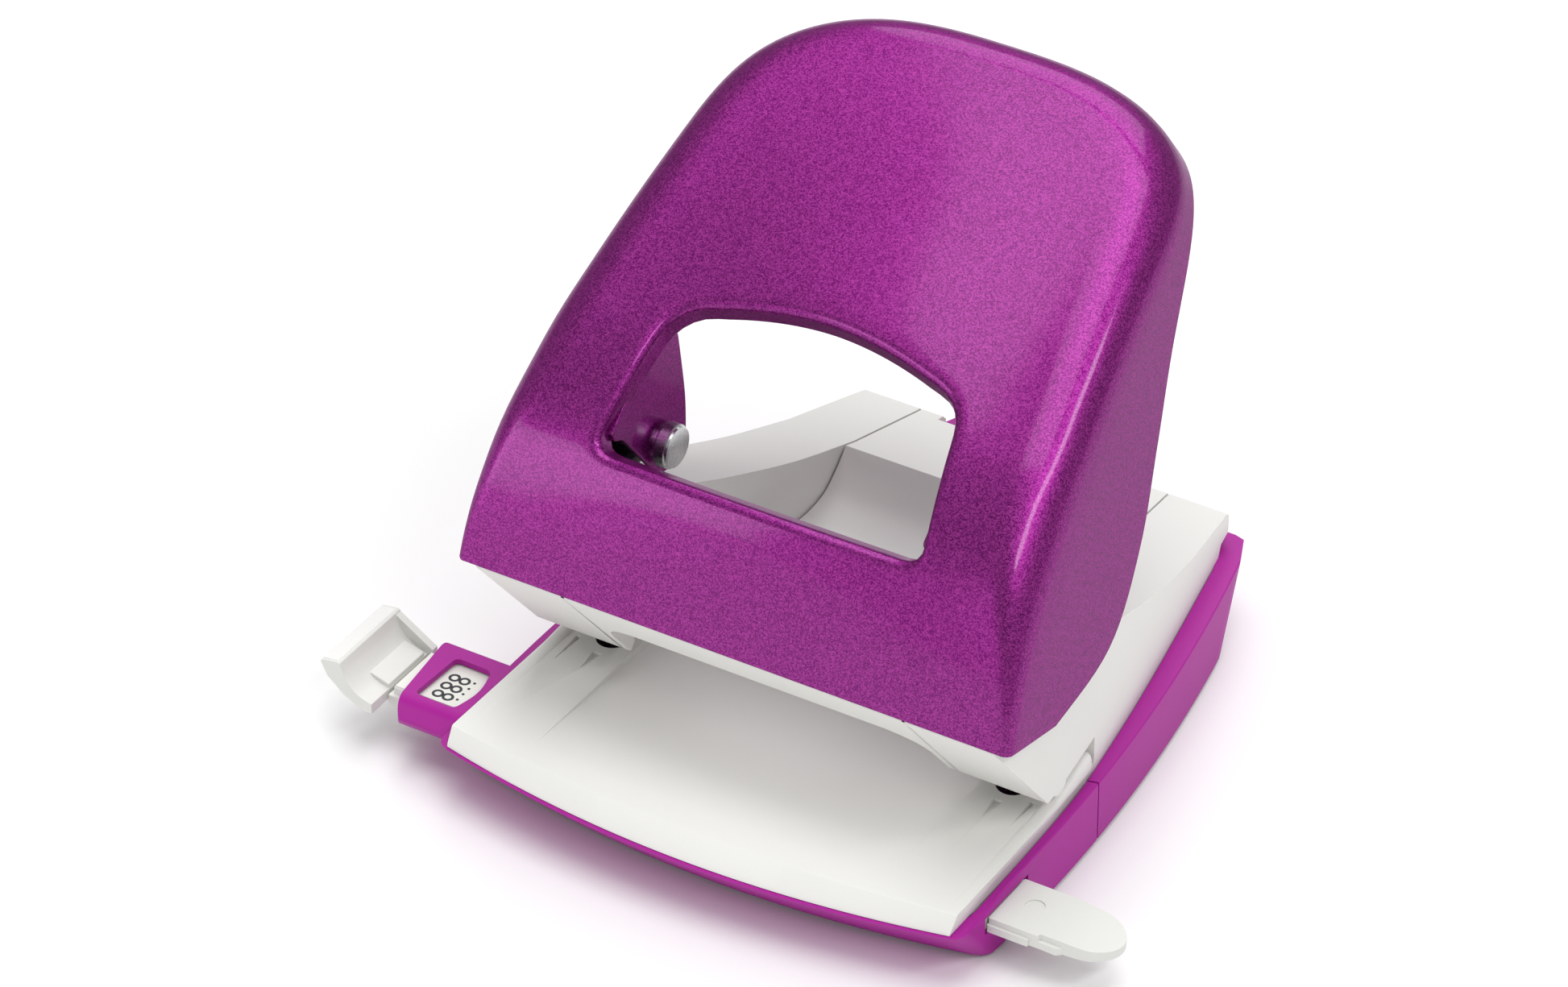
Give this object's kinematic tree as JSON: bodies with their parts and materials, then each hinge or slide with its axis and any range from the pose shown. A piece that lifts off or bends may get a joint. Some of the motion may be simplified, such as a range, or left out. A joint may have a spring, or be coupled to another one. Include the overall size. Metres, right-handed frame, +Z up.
{
  "type": "hole punch",
  "caption": "Desk hole punch with a sprung pressed-steel handle, slotted plastic body, sliding format guide and a chip tray that draws out to the rear.",
  "frame": {"origin": "on the desk, midway between the two punches", "axes": "+X to the right along the line of holes, +Y to the rear, away from the paper, +Z up"},
  "size_m": [0.1526, 0.1282, 0.1149],
  "materials": {
    "handle_paint": "metallic purple lacquer, glossy, fine flake",
    "base_plastic": "satin purple injection-moulded plastic",
    "body_plastic": "fine matt off-white plastic",
    "guide_plastic": "fine matt off-white plastic",
    "cap_plastic": "dark acetal",
    "bright_steel": "ground and polished steel",
    "zinc_steel": "zinc-plated sheet steel",
    "spring_steel": "drawn spring wire",
    "rubber": "matt anti-slip rubber",
    "scale_print": "printed label, dark figures on off-white"
  },
  "bodies": {
    "frame": {"base_front_shell": "base_plastic", "front_mat": "rubber", "steel_base_plate": "zinc_steel", "paper_table": "body_plastic", "die_bush_right": "zinc_steel", "die_bush_left": "zinc_steel", "punch_frame_right": "zinc_steel", "punch_frame_left": "zinc_steel", "frame_screw_right": "zinc_steel", "frame_screw_left": "zinc_steel", "hinge_axle": "bright_steel", "axle_ring_right": "spring_steel", "axle_ring_left": "spring_steel", "housing_shell": "body_plastic", "rear_deck": "body_plastic", "deck_screw_right": "zinc_steel", "deck_screw_left": "zinc_steel", "detent_spring": "spring_steel", "return_spring_right": "spring_steel", "return_spring_left": "spring_steel"},
    "handle": {"handle_shell": "handle_paint", "press_pin_right": "bright_steel", "press_pin_left": "bright_steel", "pin_ring_right": "spring_steel", "pin_ring_left": "spring_steel"},
    "punch_right": {"punch_right": "bright_steel", "punch_cap_right": "cap_plastic"},
    "punch_left": {"punch_left": "bright_steel", "punch_cap_left": "cap_plastic"},
    "guide": {"guide_bar": "guide_plastic", "format_scale": "scale_print", "paper_stop": "guide_plastic", "bar_end_tab": "guide_plastic"},
    "tray": {"chip_tray": "base_plastic", "rear_foot_right": "rubber", "rear_foot_left": "rubber"}
  },
  "joints": [
    {"name": "handle_press", "type": "hinge", "parent": "frame", "child": "handle", "pos_m": [0, -0.017, 0.0455], "axis": [-1, 0, 0], "range_deg": [0, 26], "stiffness_Nm_per_rad": 0.6, "springref_deg": -28.65},
    {"name": "punch_right_slide", "type": "slide", "parent": "frame", "child": "punch_right", "axis": [0, 0, -1], "range_m": [0, 0.0092], "deforming": ["return_spring_right"]},
    {"name": "punch_left_slide", "type": "slide", "parent": "frame", "child": "punch_left", "axis": [0, 0, -1], "range_m": [0, 0.0092], "deforming": ["return_spring_left"]},
    {"name": "guide_slide", "type": "slide", "parent": "frame", "child": "guide", "axis": [-1, 0, 0], "range_m": [0, 0.08]},
    {"name": "tray_slide", "type": "slide", "parent": "frame", "child": "tray", "axis": [0, 1, 0], "range_m": [0, 0.055]}
  ],
  "couplings": [
    {"joint": "punch_right_slide", "follows": "handle_press", "m_per_rad": 0.0199},
    {"joint": "punch_left_slide", "follows": "handle_press", "m_per_rad": 0.0199}
  ]
}
